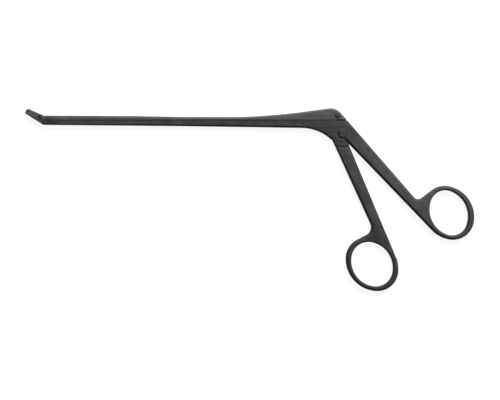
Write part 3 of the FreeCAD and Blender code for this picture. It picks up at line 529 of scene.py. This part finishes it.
def painted_rim_shade(tree, vector, radius):
    """Painted shade: one on the rim's front lower side, a little on the rest of the rim, and zero inside the rim."""
    flat = place(tree, "ShaderNodeVectorMath", operation="MULTIPLY")
    flat.inputs[1].default_value = (1, 1, 0)
    tree.links.new(vector, flat.inputs[0])
    length = place(tree, "ShaderNodeVectorMath", operation="LENGTH")
    tree.links.new(flat.outputs["Vector"], length.inputs[0])
    outside = span(tree, length.outputs["Value"], radius - 0.0001, radius, 0.0, 1.0)
    unit = place(tree, "ShaderNodeVectorMath", operation="NORMALIZE")
    tree.links.new(flat.outputs["Vector"], unit.inputs[0])
    towards = dot_product(tree, unit.outputs["Vector"], SHADED_SIDE)
    return math_node(tree, "MULTIPLY", outside, span(tree, towards, 0.0, 0.6, 0.15, 1.0))


def turned_steel(name, centre, rim, dark, light):
    material, tree, shader = new_material(name)
    shift = place(tree, "ShaderNodeMapping")
    shift.inputs["Location"].default_value = (-centre[0], -centre[1], 0)
    tree.links.new(place(tree, "ShaderNodeTexCoord").outputs["Object"], shift.inputs["Vector"])
    from_axis = shift.outputs["Vector"]
    rings = place(tree, "ShaderNodeTexWave", wave_type="RINGS", rings_direction="Z", wave_profile="SIN")
    rings.inputs["Scale"].default_value = RINGS
    rings.inputs["Distortion"].default_value = 1.5
    rings.inputs["Detail"].default_value = 2.0
    tree.links.new(from_axis, rings.inputs["Vector"])
    fine = rings.outputs["Fac"]
    steel = colour_mix(tree, fine, dark, light)
    # The rim gets painted shade, black on its front lower side.
    tree.links.new(
        colour_mix(tree, painted_rim_shade(tree, from_axis, rim), steel, PAINTED_SHADE_BLACK), shader.inputs["Base Color"]
    )
    tree.links.new(span(tree, fine, 0, 1, 0.3, 0.38), shader.inputs["Roughness"])
    shader.inputs["Metallic"].default_value = 0.0
    shader.inputs["Specular IOR Level"].default_value = RUBBED_GLOSS
    add_bump(tree, shader, fine, 0.3, RING_HEIGHT)
    return material


def middle_of(name):
    low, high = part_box(name)
    return (low + high) / 2


def rim_of(name):
    """Where the sloping rim of the head begins, from the axis."""
    low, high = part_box(name)
    return (high.x - low.x) / 2 - RIM_WIDTH


small_parts = {
    "jaw_pivot_pin": ground_steel("ground_pivot_rivet", (0.05, 0.05, 0.052), (0.11, 0.11, 0.115)),
    # The link rivet's darker colours are painted shade of the recess round it.
    "jaw_link_pin": ground_steel("ground_link_rivet_painted_shade", (0.02, 0.02, 0.021), (0.05, 0.05, 0.052)),
}
for name, finish in (("slider_drive_pin", "turned_drive_pin"), ("handle_pivot_screw", "turned_screw_head")):
    small_parts[name] = turned_steel(finish, middle_of(name), rim_of(name), DARK, LIGHT)
print("small parts:", [material.name for material in small_parts.values()])

# %% [markdown]
# Each piece gets its finish in its material slot.

# %% Put the finishes on
for name, material in {**coating, **small_parts}.items():
    piece = nodes[name]
    piece.data.materials.clear()
    piece.data.materials.append(material)
    print(name, "->", material.name)
for piece, material in ((upper_lip, lip_coating), (lower_lip, lip_coating), (heel_web, coating["slider"])):
    piece.data.materials.append(material)
    print(piece.name, "->", material.name)

# %% [markdown]
# ## Floor, light and camera
# The photograph is a catalogue view: pure white round the object. White comes from the floor's own colour, seen by
# the camera and by reflections, so the lamps don't have to be turned up and the dark steel keeps its tone. The
# floor also has an ordinary matt part, which takes the soft contact shadow.

# %% The floor
FLOOR_GREY = (0.25, 0.25, 0.25, 1)
FLOOR_GLOW = 0.9


def make_floor():
    deselect_all()
    bpy.ops.mesh.primitive_grid_add(x_subdivisions=4, y_subdivisions=4, size=6, location=(-0.05, -0.04, 0))
    floor = bpy.context.object
    floor.name = "floor"
    bpy.ops.object.transform_apply(location=True, rotation=True, scale=True)
    material, tree, shader = new_material("white_table")
    shader.inputs["Base Color"].default_value = FLOOR_GREY
    shader.inputs["Roughness"].default_value = 0.9
    shader.inputs["Specular IOR Level"].default_value = 0.1
    path = place(tree, "ShaderNodeLightPath")
    seen = math_node(tree, "MAXIMUM", path.outputs["Is Camera Ray"], path.outputs["Is Glossy Ray"])
    seen = math_node(tree, "MAXIMUM", seen, path.outputs["Is Transmission Ray"])
    glow = place(tree, "ShaderNodeEmission")
    tree.links.new(math_node(tree, "MULTIPLY", seen, FLOOR_GLOW), glow.inputs["Strength"])
    both = place(tree, "ShaderNodeAddShader")
    tree.links.new(shader.outputs["BSDF"], both.inputs[0])
    tree.links.new(glow.outputs["Emission"], both.inputs[1])
    tree.links.new(both.outputs["Shader"], tree.nodes["Material Output"].inputs["Surface"])
    floor.data.materials.append(material)
    return floor


floor = make_floor()
print("floor:", [round(side, 2) for side in floor.dimensions])

# %% [markdown]
# The light comes from the upper right of the picture, low enough that every rounding that faces the lower left
# goes dark. That is what draws the black bands along the handles. A second, weaker lamp above keeps the flat
# sides readable, and a dim grey world fills the rest. Their sum on a level face is close to one, so a colour shows
# about as it is written.

# %% The lamps
CENTRE = (-0.0555, -0.0399, 0.0026)
SKY = (0.9, 0.93, 0.97, 1)
SKY_STRENGTH = 0.08


def area_lamp(name, direction, distance, width, power):
    """A square lamp in a direction from the middle of the picture, turned towards it."""
    light = bpy.data.lights.new(name, "AREA")
    light.shape = "SQUARE"
    light.size = width
    light.energy = power
    lamp = bpy.data.objects.new(name, light)
    bpy.context.scene.collection.objects.link(lamp)
    length = math.sqrt(sum(part * part for part in direction))
    unit = [part / length for part in direction]
    lamp.location = [middle + part * distance for middle, part in zip(CENTRE, unit)]
    turn = math.atan2(unit[1], unit[0])
    tilt = math.acos(unit[2])
    lamp.rotation_euler = (0, tilt, turn)
    return lamp


key = area_lamp("key_lamp", (0.3, 0.95, 0.82), distance=1.2, width=0.7, power=15)
top = area_lamp("top_lamp", (0.3, 0.35, 1.0), distance=1.5, width=1.0, power=4)
world = bpy.data.worlds.new("soft_world")
bpy.context.scene.world = world
world.use_nodes = True
world.node_tree.nodes["Background"].inputs["Color"].default_value = SKY
world.node_tree.nodes["Background"].inputs["Strength"].default_value = SKY_STRENGTH
print("lamps:", key.name, top.name)

# %% [markdown]
# The camera looks straight down. At 0.9 m the object's few millimetres of thickness hardly change its outline, and
# the lens is chosen so that 300 mm of the table fill the width of the picture.

# %% The camera
VIEW_WIDTH = 0.300
DISTANCE = 0.9
camera_data = bpy.data.cameras.new("camera")
camera_data.sensor_fit = "HORIZONTAL"
camera_data.sensor_width = 36
camera_data.lens = camera_data.sensor_width * DISTANCE / VIEW_WIDTH
camera_data.clip_start = 0.01
camera = bpy.data.objects.new("camera", camera_data)
camera.location = (CENTRE[0], CENTRE[1], CENTRE[2] + DISTANCE)
bpy.context.scene.collection.objects.link(camera)
bpy.context.scene.camera = camera
bpy.context.scene.view_settings.view_transform = "Standard"
print("lens:", round(camera_data.lens, 1), "mm")
